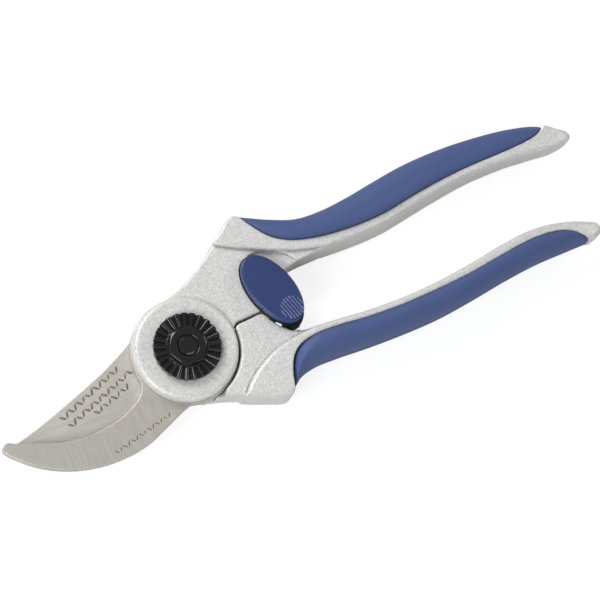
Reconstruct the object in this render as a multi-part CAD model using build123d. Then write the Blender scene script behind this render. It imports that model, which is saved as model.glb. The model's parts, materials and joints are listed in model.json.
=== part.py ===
"""Bypass pruning shears: two cast handles with soft grips, a hook jaw, a cutting blade, a keyed pivot
bolt with a tension wheel, a coil spring between the handles and a turning lock lever.

Millimetres. The origin is on the pivot's axis, in the plane the shears lie on.
+X runs to the handles' ends, +Y to the upper handle and +Z out of the front face.
"""
from build123d import *
import os
from math import atan2, cos, degrees, dist, radians, sin

# ---- thicknesses, stacked up from the surface the shears lie on ----
bolt_head_height = 2.0
back_plate_thickness = 4.0   # lower handle's plate behind the blade
blade_thickness = 2.95
slide_gap = 0.05             # between the two jaws, and under the pivot's washer
hook_thickness = 3.0
front_cover_thickness = 2.5  # upper handle's plate in front of the hook
boss_rise = 1.5              # front boss above the head's face
head_back_step = 1.2         # heads' back faces above the bolt head's seat

blade_back = bolt_head_height + back_plate_thickness
blade_front = blade_back + blade_thickness
hook_back = blade_front + slide_gap
hook_front = hook_back + hook_thickness
head_front = hook_front + front_cover_thickness
head_back = bolt_head_height + head_back_step
boss_front = head_front + boss_rise
handle_mid = hook_back       # middle plane of both handles
above_all = 2 * boss_front   # higher than any face, for cuts that go right through

# ---- pivot ----
boss_radius = 17.2
boss_edge_radius = 1.6
jaw_head_step = 0.5          # round heads of both jaws stand past the boss
head_clearance = 0.4         # round gap between one half's round head and the other half
bolt_radius = 5.0
bolt_flat = 4.0              # half width across the two flats that key the bolt to the blade
bolt_head_radius = 8.5
bolt_head_edge = 0.5
spanner_hole_radius = 1.0    # two blind holes that hold the bolt while its nut is turned
spanner_hole_offset = 5.2
spanner_hole_depth = 1.2
thread_radius = 3.25
bolt_end_rise = 0.6          # bolt's end above the nut
thread_end_edge = 0.6
bush_wall = 1.5
bush_clearance = 0.04
key_clearance = 0.03
washer_thickness = 0.6
washer_radius = 9.0
wheel_radius = 11.0
wheel_core_wall = 0.9        # wheel's flat middle past the nut's flats
wheel_rim_height = 1.9
wheel_core_height = 1.3
wheel_rib_count = 25
wheel_rib_width = 0.7
wheel_rib_height = 0.5
wheel_tab_angles = (100, 160)
nut_across_flats = 12.0
nut_height = 2.2
nut_edge = 0.5
nut_thread_clearance = 0.05
wheel_gap = 0.05
wave_washer_thickness = 0.5

# ---- jaws ----
jaw_reach = 67.4             # from the pivot to the hook's tip
blade_setback = 5.7          # blade's tip stops this far short of the hook's
jaw_root = 20.0              # within this distance of the pivot the jaws keep their shape
jaw_drawn_reach = 67.4       # reach that the jaws' outline points are given for
blade_overlap = 2.4          # how far the cutting edge passes behind the hook's inner edge
tang_width = 15.0
tang_reach = 34.0
hook_tang_angle = 38.0
blade_tang_angle = -33.0
tang_clearance = 0.1

# ---- jaw screws ----
screw_radius = 2.0
screw_head_radius = 3.6
screw_head_height = 1.6
screw_end_gap = 0.8
screw_positions = (21.5, 29.5)   # distances from the pivot along each tang

# ---- lock lever ----
lock_x = 33.8
lock_y = 7.5
lock_half_length = 13.3
lock_half_width = 7.2
lock_angle = 107.5
lock_floor_depth = 3.0       # floor under the lever, below the head's face
lock_floor_gap = 0.4
lock_flange_gap = 0.3        # between the head's face and the lever's flange
lock_cap_height = 3.1
lock_cap_edge = 1.2
lock_base_grow = 0.35
lock_hub_radius = 6.4
lock_flange_thickness = 0.5  # full ellipse between the cap and the head's face
lock_pocket_gap = 0.5
lock_pin_radius = 2.0
lock_pin_head_radius = 3.4
lock_pin_head_height = 1.2
lock_pin_clearance = 0.04
lock_pin_grip = 1.3          # pin's length inside the cap
lock_washer_radius = 5.2
lock_washer_thickness = 0.3
thumb_rib_count = 7
thumb_rib_pitch = 1.1
thumb_rib_height = 0.35
thumb_rib_offset = 7.2       # from the lever's middle to the ribs' middle
thumb_patch_radius = 4.5
lock_recess_gap = 0.35
lock_travel_room = (-135, 18)    # angles about the lever's pin that its lobe sweeps
catch_start = (28.6, 1.2)
catch_end = (31.0, -2.6)
catch_thickness = 1.2
catch_height = 6.6
catch_depth = 0.9            # catch's front edge below the head's face

# ---- main spring ----
spring_radius = 2.9
spring_wire = 1.2
spring_turns = 6.5
spring_level = 7.6           # height of the spring's axis
spring_lower = (36.2, -9.2)
spring_upper = (38.0, 4.2)
seat_bore_gap = 0.4
seat_flange_thickness = 0.9
seat_stud_length = 2.4
spring_fit = 0.1

# ---- handles: stations of x, inner y, outer y, thickness ----
upper_stations = [
    (27.0, 26.5, 31.5, 10.5),
    (33.0, 22.5, 34.4, 14.0),
    (39.0, 18.0, 32.6, 16.2),
    (46.0, 14.2, 29.4, 17.4),
    (56.0, 13.9, 27.0, 17.9),
    (68.0, 13.4, 27.4, 17.9),
    (80.0, 14.2, 29.1, 17.9),
    (93.0, 16.4, 30.9, 17.9),
    (106.0, 17.8, 31.3, 17.7),
    (120.0, 18.2, 30.6, 16.8),
    (133.0, 18.0, 29.0, 15.2),
    (142.0, 17.6, 26.7, 13.2),
    (147.5, 17.9, 23.4, 10.0),
    (150.0, 19.6, 21.2, 6.0),
]
lower_stations = [
    (28.5, -12.0, -23.8, 11.5),
    (33.0, -10.5, -21.6, 14.0),
    (39.0, -9.0, -19.6, 16.2),
    (47.0, -8.2, -19.6, 17.5),
    (58.0, -8.9, -20.1, 17.9),
    (71.0, -9.5, -20.3, 17.9),
    (84.0, -9.2, -19.9, 17.9),
    (97.0, -7.9, -18.4, 17.9),
    (111.0, -5.9, -16.4, 17.5),
    (123.0, -5.0, -15.3, 16.4),
    (133.0, -5.9, -15.1, 15.0),
    (141.0, -8.0, -14.8, 12.5),
    (145.0, -9.9, -13.6, 9.0),
    (146.6, -11.2, -12.4, 6.0),
]
section_corner = 0.42        # corner radius of a handle's section, as a share of its smaller side
grip_wall = 3.4              # soft grip over the cast core, front and back
grip_side_wall = 3.2         # soft grip over the core's outer side

# ---- lines where the grips meet the castings ----
upper_grip_line = [
    (32.6, 37.0), (36.5, 29.6), (45.0, 21.6), (57.0, 18.0), (70.0, 17.3),
    (84.0, 18.4), (99.0, 20.8), (118.0, 22.1), (131.0, 22.6), (144.5, 26.6),
]
lower_grip_line = [
    (27.0, -27.0), (29.6, -19.0), (35.0, -12.9), (45.0, -11.3), (60.0, -12.2),
    (76.0, -12.6), (94.0, -11.7), (112.0, -9.1), (124.0, -8.6), (133.0, -10.4), (139.5, -17.0),
]

os.makedirs("parts", exist_ok=True)

jaw_head_radius = boss_radius + jaw_head_step
round_cut = jaw_head_radius + head_clearance
lock_floor = head_front - lock_floor_depth
lock_base_back = lock_floor + lock_floor_gap
flange_back = head_front + lock_flange_gap
lock_base_front = flange_back + lock_flange_thickness
lock_cap_front = lock_base_front + lock_cap_height
lock_pin_end = lock_base_front + lock_pin_grip
catch_front = head_front - catch_depth
catch_back = catch_front - catch_height
spring_start = Vector(spring_lower[0], spring_lower[1], spring_level)
spring_stop = Vector(spring_upper[0], spring_upper[1], spring_level)
spring_length = (spring_stop - spring_start).length
spring_plane = Plane(origin=spring_start, x_dir=(0, 0, 1), z_dir=spring_stop - spring_start)


def face_of(edges):
    """A flat face bounded by edges that join end to end."""
    return make_face(Curve() + edges)


def plate(face, low, high):
    """A plan face made solid between two heights."""
    return extrude(Pos(0, 0, low) * face, high - low, dir=(0, 0, 1))


def disc(radius, low, high, x=0.0, y=0.0):
    return Pos(x, y, (low + high) / 2) * Cylinder(radius, high - low)


def turned(point_radius, angle):
    """The point at a distance and angle from the pivot."""
    return (point_radius * cos(radians(angle)), point_radius * sin(radians(angle)))


def tang_face(angle, extra=0.0):
    """A straight tongue with a round end, from the pivot outwards."""
    length = tang_reach + extra
    width = tang_width + 2 * extra
    tongue = Pos(length / 2 - width / 4, 0) * Rectangle(length - width / 2, width)
    tongue += Pos(length - width / 2, 0) * Circle(width / 2)
    return Rot(0, 0, angle) * tongue


def handle_solid(stations):
    """A handle lofted through rounded sections that face along X."""
    sections = []
    for x, inner, outer, thickness in stations:
        width = abs(outer - inner)
        corner = section_corner * min(width, thickness)
        section_plane = Plane(origin=(x, (inner + outer) / 2, handle_mid), x_dir=(0, 1, 0), z_dir=(1, 0, 0))
        sections.append(section_plane * RectangleRounded(width, thickness, corner))
    return loft(sections)


def grip_zone(line, outside_y):
    """Everything on the outer side of a grip's edge line."""
    edge = Spline(*line)
    start, end = line[0], line[-1]
    back = Polyline(end, (end[0], outside_y), (start[0], outside_y), start)
    return plate(face_of([edge, back]), -1.0, 2 * handle_mid + 1.0)


def core_solid(stations, line):
    """The cast core inside a grip: it starts in the bare casting and stops short of the outer side."""
    side = 1 if stations[0][2] > stations[0][1] else -1
    sections = []
    for x, inner, outer, thickness in stations[2:-2]:
        near = inner + side * 1.0
        far = outer - side * grip_side_wall
        core_thickness = thickness - 2 * grip_wall
        width = abs(far - near)
        plane = Plane(origin=(x, (near + far) / 2, handle_mid), x_dir=(0, 1, 0), z_dir=(1, 0, 0))
        sections.append(plane * RectangleRounded(width, core_thickness, 0.2 * min(width, core_thickness)))
    return loft(sections)


def jaw_points(points):
    """Outline points of a jaw, moved in proportion beyond its root so that the jaw has its reach."""
    stretch = (jaw_reach - jaw_root) / (jaw_drawn_reach - jaw_root)
    return [(x if x > -jaw_root else -jaw_root + (x + jaw_root) * stretch, y) for x, y in points]


def hook_plan():
    """The hook: a crescent from the round head to the blunt tip, seen from the front."""
    outer = Spline(*jaw_points([(-5.2, -16.9), (-13.5, -20.1), (-24.0, -24.0), (-36.0, -25.0), (-48.5, -22.8),
                                (-59.0, -17.6), (-66.4, -11.0)]), tangents=[(-1, -0.12), (-0.55, 0.84)])
    tip = Spline(*jaw_points([(-66.4, -11.0), (-jaw_drawn_reach, -8.2), (-66.0, -6.6), (-62.6, -7.7)]),
                 tangents=[(-0.55, 0.84), (0.95, -0.32)])
    inner = Spline(*jaw_points([(-62.6, -7.7), (-54.0, -11.0), (-46.0, -13.5), (-38.0, -14.0), (-29.0, -12.8),
                                (-20.6, -9.0), (-17.0, -4.6)]), tangents=[(0.95, -0.32), (0.45, 0.9)])
    closing = Polyline((-17.0, -4.6), (0, 0), (-5.2, -16.9))
    return face_of([outer, tip, inner, closing]) + Circle(jaw_head_radius)


def blade_plan():
    """The cutting blade: a nearly straight spine and a curved cutting edge behind the hook."""
    tip_x = blade_setback - jaw_drawn_reach
    spine = Spline(*jaw_points([(-9.5, 13.2), (-18.4, 8.3), (-34.4, 1.5), (-48.0, -3.2), (tip_x, -7.0)]),
                   tangents=[(-0.9, -0.45), (-0.95, -0.3)])
    edge = Spline(*jaw_points([(tip_x, -7.4), (-52.0, -13.4), (-44.0, -13.4 - blade_overlap),
                               (-35.0, -13.7 - blade_overlap), (-25.0, -13.8), (-15.5, -8.2)]),
                  tangents=[(0.8, -0.6), (0.75, 0.65)])
    tip = Line(*jaw_points([(tip_x, -7.0), (tip_x, -7.4)]))
    closing = Polyline((-15.5, -8.2), (0, 0), (-9.5, 13.2))
    return face_of([spine, tip, edge, closing]) + Circle(jaw_head_radius)


def keyed_hole(clearance):
    """The bolt's section where it is keyed: a circle with two flats."""
    round_part = Circle(bolt_radius + clearance)
    return round_part & Rectangle(4 * bolt_radius, 2 * (bolt_flat + clearance))


def screw_places(angle):
    return [turned(distance, angle) for distance in screw_positions]


def screw(x, y, head_low, end):
    """A countersunk-style flat head screw put in from the back, with a cross slot."""
    body = disc(screw_radius, head_low, end, x, y)
    head = disc(screw_head_radius, head_low, head_low + screw_head_height, x, y)
    slot = Box(2 * screw_head_radius * 0.62, 0.9, 1.6) + Box(0.9, 2 * screw_head_radius * 0.62, 1.6)
    return body + head - Pos(x, y, head_low) * slot


def ellipse_plan(grow=0.0):
    return Pos(lock_x, lock_y) * Rot(0, 0, lock_angle) * Ellipse(lock_half_length + grow,
                                                                  lock_half_width + grow)


def along_spring(shape, distance):
    """Turns a shape built along +Z onto the spring's axis, at a distance from its lower end."""
    return spring_plane * Pos(0, 0, distance) * shape


# ---- upper handle: front boss, head and handle, with the hook's tang let in behind ----
upper_head = face_of([
    Line((0, 0), (0, 17.0)),
    Spline((0, 17.0), (10.0, 20.9), (20.0, 27.0), (29.6, 34.4), tangents=[(1, 0.3), (0.8, 0.6)]),
    Polyline((29.6, 34.4), (31.4, 35.0), (34.6, 33.0), (44.0, 24.0), (57.0, 18.0), (57.0, 14.9)),
    Spline((57.0, 14.9), (48.0, 14.2), (40.6, 12.2), tangents=[(-1, -0.02), (-0.9, -0.44)]),
    Polyline((40.6, 12.2), (41.8, 10.0), (41.8, 2.6), (31.5, 2.6), (19.6, 2.3), (16.8, 2.2), (0, 0)),
])
boss = disc(boss_radius, hook_front, boss_front)
boss = fillet(boss.edges().filter_by(GeomType.CIRCLE).sort_by(Axis.Z)[-1], boss_edge_radius)
front_layer = plate(upper_head, hook_front, head_front)
back_layer = plate(upper_head, head_back, hook_front) - disc(round_cut, 0, hook_front)
upper_casting = front_layer + boss + back_layer
upper_whole = handle_solid(upper_stations)
upper_zone = grip_zone(upper_grip_line, 45.0)
upper_core = core_solid(upper_stations, upper_grip_line)
upper_casting = (upper_casting + upper_whole) - upper_zone + (upper_core & upper_whole)
# The lever turns over a lowered floor: a round pocket for its hub and open room for its lobe.
hub_pocket = disc(lock_hub_radius + lock_pocket_gap, lock_floor, above_all, lock_x, lock_y)
sweep_radius = lock_half_length + lock_base_grow + lock_recess_gap
lobe_room = plate(Pos(lock_x, lock_y) * face_of([
    Polyline((0, 0), turned(2 * sweep_radius, lock_travel_room[0]), turned(2 * sweep_radius, -60),
             turned(2 * sweep_radius, lock_travel_room[1]), (0, 0)),
]), lock_floor, above_all) & disc(sweep_radius, 0, above_all, lock_x, lock_y)
lever_recess = disc(sweep_radius, head_front, 2 * handle_mid + 1, lock_x, lock_y)
upper_casting -= hub_pocket + lobe_room + lever_recess
upper_casting -= plate(tang_face(hook_tang_angle, tang_clearance), hook_back - 0.02, hook_front)
upper_casting -= disc(bolt_radius + bush_clearance + bush_wall, 0, boss_front + 1)
upper_casting -= disc(lock_pin_radius + lock_pin_clearance, 0, lock_floor + 1, lock_x, lock_y)
upper_casting -= disc(lock_pin_head_radius + 0.3, 0, head_back + lock_pin_head_height + 0.1, lock_x, lock_y)
upper_casting -= along_spring(Cylinder(spring_radius + seat_bore_gap, 20, align=(Align.CENTER, Align.CENTER, Align.MAX)),
                              spring_length + seat_flange_thickness)
for x, y in screw_places(hook_tang_angle):
    upper_casting -= disc(screw_radius + 0.05, 0, hook_front + screw_end_gap, x, y)
    upper_casting -= disc(screw_head_radius + 0.2, 0, head_back + screw_head_height, x, y)

upper_grip = (upper_whole & upper_zone) - upper_core

hook = plate(hook_plan() + tang_face(hook_tang_angle), hook_back, hook_front)
hook -= disc(bolt_radius + bush_clearance + bush_wall, 0, boss_front)
for x, y in screw_places(hook_tang_angle):
    hook -= disc(screw_radius + 0.05, 0, boss_front, x, y)

hook_screws = Part() + [screw(x, y, head_back, hook_front + 0.6) for x, y in screw_places(hook_tang_angle)]

# ---- lower handle: back boss, head and handle, with the blade's tang let in ----
lower_head = face_of([
    Line((0, 0), (17.9, 0.2)),
    Spline((17.9, 0.2), (18.6, 1.1), (19.8, 1.4), tangents=[(0.1, 1), (1, 0)]),
    Line((19.8, 1.4), (28.4, 1.8)),
    Spline((28.4, 1.8), (30.2, -1.6), (32.8, -5.0), (35.8, -7.4), (41.0, -8.6),
           tangents=[(0.35, -0.9), (1, -0.1)]),
    Polyline((41.0, -8.6), (43.0, -12.0), (33.0, -14.0), (29.2, -21.6)),
    Spline((29.2, -21.6), (28.2, -24.2), (25.4, -26.2), (20.0, -24.4), (10.0, -20.4), (4.0, -18.2), (0, -17.2),
           tangents=[(-0.2, -1), (-1, 0.25)]),
    Line((0, -17.2), (0, 0)),
])
lower_back = plate(lower_head, head_back, blade_back) + disc(boss_radius, bolt_head_height, blade_back)
# The front half starts at the round gap and stops on a radial face that meets the hook when fully open.
open_side = face_of([Polyline((0, 0), turned(60, -72), (60, -60), (60, 30), (0, 0))])
lower_front = plate(lower_head & open_side, blade_back, head_front) - disc(round_cut, 0, boss_front)
lower_whole = handle_solid(lower_stations)
lower_zone = grip_zone(lower_grip_line, -40.0)
lower_core = core_solid(lower_stations, lower_grip_line)
lower_casting = (lower_back + lower_front + lower_whole) - lower_zone + (lower_core & lower_whole)
lower_casting -= plate(tang_face(blade_tang_angle, tang_clearance), blade_back, blade_front + 0.02)
lower_casting -= plate(keyed_hole(key_clearance), 0, blade_back)
for x, y in screw_places(blade_tang_angle):
    lower_casting -= disc(screw_radius + 0.05, 0, blade_front + screw_end_gap, x, y)
    lower_casting -= disc(screw_head_radius + 0.2, 0, head_back + screw_head_height, x, y)

seat_bore = Cylinder(spring_radius + seat_bore_gap, 20, align=(Align.CENTER, Align.CENTER, Align.MIN))
lower_casting -= along_spring(seat_bore, -seat_flange_thickness)
catch_angle = degrees(atan2(catch_end[1] - catch_start[1], catch_end[0] - catch_start[0]))
catch_length = dist(catch_start, catch_end)
catch = Pos((catch_start[0] + catch_end[0]) / 2, (catch_start[1] + catch_end[1]) / 2,
            (catch_back + catch_front) / 2) * Rot(0, 0, catch_angle)
catch *= Box(catch_length, catch_thickness, catch_front - catch_back)
lower_casting -= catch

lower_grip = (lower_whole & lower_zone) - lower_core

blade = plate(blade_plan() + tang_face(blade_tang_angle), blade_back, blade_front)
blade -= plate(keyed_hole(key_clearance), 0, boss_front)
for x, y in screw_places(blade_tang_angle):
    blade -= disc(screw_radius + 0.05, 0, boss_front, x, y)

blade_screws = Part() + [screw(x, y, head_back, blade_front + 0.6) for x, y in screw_places(blade_tang_angle)]

# ---- pivot ----
washer_back = boss_front + slide_gap
washer_front = washer_back + washer_thickness
nut_back = washer_front + wave_washer_thickness
nut_front = nut_back + nut_height
bolt_end = nut_front + bolt_end_rise
pivot_bolt = disc(bolt_head_radius, 0, bolt_head_height)
pivot_bolt = chamfer(pivot_bolt.edges().group_by(Axis.Z)[0], bolt_head_edge)
for side in (-1, 1):
    pivot_bolt -= disc(spanner_hole_radius, 0, spanner_hole_depth, side * spanner_hole_offset)
pivot_bolt += plate(keyed_hole(0), bolt_head_height, blade_front)
pivot_bolt += disc(bolt_radius, blade_front, washer_back)
thread = disc(thread_radius, washer_back, bolt_end)
thread = chamfer(thread.edges().group_by(Axis.Z)[-1], thread_end_edge)
pivot_bolt += thread
bush_outer = bolt_radius + bush_clearance + bush_wall
pivot_bush = disc(bush_outer, hook_back, boss_front) - disc(bolt_radius + bush_clearance, 0, above_all)
pivot_washer = disc(washer_radius, washer_back, washer_front) - disc(thread_radius + 0.1, 0, above_all)
wave_washer = disc(0.48 * nut_across_flats, washer_front, nut_back) - disc(thread_radius + 0.15, 0, above_all)
pivot_nut = plate(RegularPolygon(nut_across_flats / 2, 6, major_radius=False), nut_back, nut_front)
nut_top = pivot_nut.faces().sort_by(Axis.Z)[-1]
pivot_nut = chamfer(nut_top.edges(), nut_edge) - disc(thread_radius + nut_thread_clearance, 0, above_all)

wheel_back = washer_front + wheel_gap
wheel_core_radius = nut_across_flats / 2 + wheel_core_wall
wheel_hole_radius = nut_across_flats / 2 - 0.5
rim_top = wheel_back + wheel_rim_height
wheel_profile = face_of([Polyline(
    (wheel_hole_radius, wheel_back), (wheel_radius, wheel_back), (wheel_radius, rim_top - 0.5),
    (wheel_radius - 0.7, rim_top), (wheel_core_radius, wheel_back + wheel_core_height),
    (wheel_hole_radius, wheel_back + wheel_core_height), (wheel_hole_radius, wheel_back),
)])
tension_wheel = revolve(Plane.XZ * wheel_profile, Axis.Z)
rib_length = wheel_radius - wheel_core_radius
rib_slope = degrees(atan2(wheel_rim_height - wheel_core_height, rib_length))
rib_middle = (wheel_radius + wheel_core_radius) / 2
rib_level = wheel_back + (wheel_rim_height + wheel_core_height) / 2
for number in range(wheel_rib_count):
    rib = Rot(0, 0, 360 * number / wheel_rib_count) * Pos(rib_middle, 0, rib_level) * Rot(0, -rib_slope, 0)
    tension_wheel += rib * Box(rib_length - 0.6, wheel_rib_width, 2 * wheel_rib_height)
for angle in wheel_tab_angles:
    tab = Rot(0, 0, angle) * Pos(wheel_radius, 0, wheel_back + wheel_rim_height / 2)
    tension_wheel += tab * Cylinder(1.2, wheel_rim_height)
tension_wheel -= plate(RegularPolygon(nut_across_flats / 2 + 0.05, 6, major_radius=False), 0, above_all)

# ---- lock lever ----
lobe = face_of([
    Spline((39.6, 5.0), (41.3, 1.0), (40.7, -3.4), (38.6, -6.0), (36.3, -6.9), (34.3, -5.4), (32.3, -1.9),
           (30.8, 1.6)),
    Polyline((30.8, 1.6), (lock_x, lock_y), (39.6, 5.0)),
])
lock_base = plate(ellipse_plan(lock_base_grow), flange_back, lock_base_front)
lock_base += disc(lock_hub_radius, lock_base_back, flange_back, lock_x, lock_y)
lock_base += plate(lobe, lock_base_back, flange_back)
lock_base -= disc(lock_pin_radius, 0, above_all, lock_x, lock_y)
lock_cap = plate(ellipse_plan(), lock_base_front, lock_cap_front)
lock_cap = fillet(lock_cap.faces().sort_by(Axis.Z)[-1].edges(), lock_cap_edge)
lever_plane = Pos(lock_x, lock_y, lock_cap_front) * Rot(0, 0, lock_angle)
for number in range(thumb_rib_count):
    across = (number - (thumb_rib_count - 1) / 2) * thumb_rib_pitch
    half_chord = (thumb_patch_radius ** 2 - across ** 2) ** 0.5
    lock_cap += lever_plane * Pos(-thumb_rib_offset, across, 0) * Box(2 * half_chord, 0.45, 2 * thumb_rib_height)
lock_cap -= disc(lock_pin_radius, 0, lock_pin_end, lock_x, lock_y)
lock_pin = disc(lock_pin_radius, head_back + 0.1, lock_pin_end, lock_x, lock_y)
lock_pin += disc(lock_pin_head_radius, head_back + 0.1, head_back + lock_pin_head_height, lock_x, lock_y)
lock_washer = disc(lock_washer_radius, lock_base_back - lock_washer_thickness, lock_base_back, lock_x, lock_y)
lock_washer -= disc(lock_pin_radius + 0.1, 0, above_all, lock_x, lock_y)

# ---- main spring and its seats ----
spring_axis_low = along_spring(Cylinder(spring_radius, seat_flange_thickness,
                                        align=(Align.CENTER, Align.CENTER, Align.MAX)), 0)
stud_radius = spring_radius - spring_wire - 2 * spring_fit
stud = Cylinder(stud_radius, seat_stud_length, align=(Align.CENTER, Align.CENTER, Align.MIN))
spring_seat_lower = spring_axis_low + along_spring(stud, 0)
flange = Cylinder(spring_radius, seat_flange_thickness, align=(Align.CENTER, Align.CENTER, Align.MIN))
stud_back = Cylinder(stud_radius, seat_stud_length, align=(Align.CENTER, Align.CENTER, Align.MAX))
spring_seat_upper = along_spring(flange, spring_length) + along_spring(stud_back, spring_length)
coil_length = spring_length - spring_wire - 2 * spring_fit
coil_radius = spring_radius - spring_wire / 2
helix = Helix(pitch=coil_length / spring_turns, height=coil_length, radius=coil_radius)
wire = Plane(origin=helix @ 0, z_dir=helix % 0) * Circle(spring_wire / 2)
main_spring = along_spring(sweep(wire, path=helix), spring_wire / 2 + spring_fit)

parts = {
    "upper_handle": upper_casting,
    "upper_grip": upper_grip,
    "hook_jaw": hook,
    "hook_screws": hook_screws,
    "pivot_bush": pivot_bush,
    "lower_handle": lower_casting,
    "lower_grip": lower_grip,
    "cutting_blade": blade,
    "blade_screws": blade_screws,
    "pivot_bolt": pivot_bolt,
    "pivot_washer": pivot_washer,
    "wave_washer": wave_washer,
    "tension_wheel": tension_wheel,
    "pivot_nut": pivot_nut,
    "lock_cap": lock_cap,
    "lock_base": lock_base,
    "lock_pin": lock_pin,
    "lock_washer": lock_washer,
    "lock_catch": catch,
    "main_spring": main_spring,
    "spring_seat_lower": spring_seat_lower,
    "spring_seat_upper": spring_seat_upper,
}
for name, shape in parts.items():
    export_step(shape, f"parts/{name}.step")
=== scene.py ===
import json
import math
import bmesh
import bpy
import numpy as np
from mathutils import Matrix, Vector


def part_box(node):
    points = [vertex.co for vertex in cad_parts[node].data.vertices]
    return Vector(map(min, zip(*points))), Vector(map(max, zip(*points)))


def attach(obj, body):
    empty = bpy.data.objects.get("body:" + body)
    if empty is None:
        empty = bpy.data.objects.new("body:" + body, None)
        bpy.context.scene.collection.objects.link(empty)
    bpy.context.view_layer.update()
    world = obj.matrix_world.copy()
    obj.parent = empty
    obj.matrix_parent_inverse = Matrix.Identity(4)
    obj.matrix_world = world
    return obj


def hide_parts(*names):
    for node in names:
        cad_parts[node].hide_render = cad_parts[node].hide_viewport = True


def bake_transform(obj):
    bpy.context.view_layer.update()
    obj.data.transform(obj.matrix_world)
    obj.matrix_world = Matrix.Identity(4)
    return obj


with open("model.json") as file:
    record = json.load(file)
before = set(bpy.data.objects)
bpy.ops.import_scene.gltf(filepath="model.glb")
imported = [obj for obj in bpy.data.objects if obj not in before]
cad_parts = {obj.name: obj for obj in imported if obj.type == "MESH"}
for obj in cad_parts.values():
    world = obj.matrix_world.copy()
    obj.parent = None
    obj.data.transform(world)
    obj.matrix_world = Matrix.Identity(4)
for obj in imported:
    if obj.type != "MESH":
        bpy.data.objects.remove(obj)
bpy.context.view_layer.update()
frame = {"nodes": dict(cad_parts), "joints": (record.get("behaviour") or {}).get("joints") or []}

# Shapes are worked out in millimetres in the frame's own axes and written to the meshes in metres.
MM = 0.001

# ---------------------------------------------------------------- sizes taken from the frame


def box_mm(node):
    low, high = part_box(node)
    return np.array(low) / MM, np.array(high) / MM


hook_low, hook_high = box_mm("hook_jaw")
blade_low, blade_high = box_mm("cutting_blade")
nut_low, nut_high = box_mm("pivot_nut")
cap_low, cap_high = box_mm("lock_cap")
upper_low, upper_high = box_mm("upper_grip")
BOLT_SEAT = box_mm("pivot_bolt")[0][2]
WASHER_BACK = box_mm("pivot_washer")[0][2]
WHEEL_BACK = box_mm("tension_wheel")[0][2]
lock_joint = next(j for j in frame["joints"] if j["name"] == "lock_turn")
LOCK = np.array(lock_joint["pos_m"]) / MM

RUNNING_GAP = 0.05           # between parts that slide on each other
BOLT_HEAD_HEIGHT = 2.0
HEAD_BACK_STEP = 1.2         # the heads' back faces stand this far in front of the back boss
BOSS_RISE = 1.5              # front boss above the head's face
HANDLE_MID = (upper_low[2] + upper_high[2]) / 2
BOSS_FRONT = WASHER_BACK - RUNNING_GAP
HOOK_BACK, HOOK_FRONT = hook_low[2], hook_high[2]
BLADE_BACK, BLADE_FRONT = blade_low[2], blade_high[2]
BACK_BOSS = BOLT_SEAT + BOLT_HEAD_HEIGHT
HEAD_FRONT = BOSS_FRONT - BOSS_RISE
HEAD_BACK = BACK_BOSS + HEAD_BACK_STEP
BOSS_RADIUS = 17.2
BACK_BOSS_RADIUS = 16.0
JAW_HEAD_RADIUS = 17.7
ROUND_GAP = 18.1             # where the lower half's front layer stops
BARE_HALF = 7.1              # half thickness of the bare casting along the handles
GRIP_EDGE = 5.4              # rounding of the grips' outer edges
SEAM = 0.09                  # half the seam between a grip and its casting
LEVER_FLOOR = HEAD_FRONT - 3.0
LEVER_HUB_BORE = 6.9         # radii round the lever's pin
RECESS_RADIUS = 13.5
TRAVEL_RADIUS = 14.0
PIN_BORE = 3.7
PIN_BORE_DEPTH = 1.3
RECESS_LEVEL = HEAD_FRONT - 0.5
HOOK_STEP = (6.0, -18.6)     # a point on the slanted step that makes room for the hook
SPRING_BORE = 3.3
SPRING_BORE_PAST = 0.9       # how far the bore runs past each end of the spring
SPRING_START = np.array([36.2, -9.2, 7.6])
SPRING_END = np.array([38.0, 4.2, 7.6])
SCREW_DISTANCES = (21.5, 29.5)
SCREW_BORE = 3.8
SCREW_BORE_DEPTH = 1.6
HOOK_SCREW_ANGLE = 38.0
BLADE_SCREW_ANGLE = -33.0

# ---------------------------------------------------------------- plan curves, in millimetres


def smooth_path(points, steps=10):
    """Points along a centripetal Catmull-Rom curve through the given points."""
    pts = np.array(points, float)
    first = 2 * pts[0] - pts[1]
    last = 2 * pts[-1] - pts[-2]
    pts = np.vstack([first, pts, last])
    out = []
    for i in range(1, len(pts) - 2):
        p0, p1, p2, p3 = pts[i - 1:i + 3]
        t0 = 0.0
        t1 = t0 + math.sqrt(np.linalg.norm(p1 - p0))
        t2 = t1 + math.sqrt(np.linalg.norm(p2 - p1))
        t3 = t2 + math.sqrt(np.linalg.norm(p3 - p2))
        for t in np.linspace(t1, t2, steps, endpoint=False):
            a1 = (t1 - t) / (t1 - t0) * p0 + (t - t0) / (t1 - t0) * p1
            a2 = (t2 - t) / (t2 - t1) * p1 + (t - t1) / (t2 - t1) * p2
            a3 = (t3 - t) / (t3 - t2) * p2 + (t - t2) / (t3 - t2) * p3
            b1 = (t2 - t) / (t2 - t0) * a1 + (t - t0) / (t2 - t0) * a2
            b2 = (t3 - t) / (t3 - t1) * a2 + (t - t1) / (t3 - t1) * a3
            out.append((t2 - t) / (t2 - t1) * b1 + (t - t1) / (t2 - t1) * b2)
    out.append(pts[-2])
    return np.array(out)


def outline(*runs):
    """One closed outline from curves and straight corners, end to end."""
    return np.vstack([np.array(run, float) for run in runs])


def arc(radius, start, stop, steps=24):
    """Points along an arc about the pivot, between two angles in degrees."""
    angles = np.radians(np.linspace(start, stop, steps))
    return np.stack([radius * np.cos(angles), radius * np.sin(angles)], 1)


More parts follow.
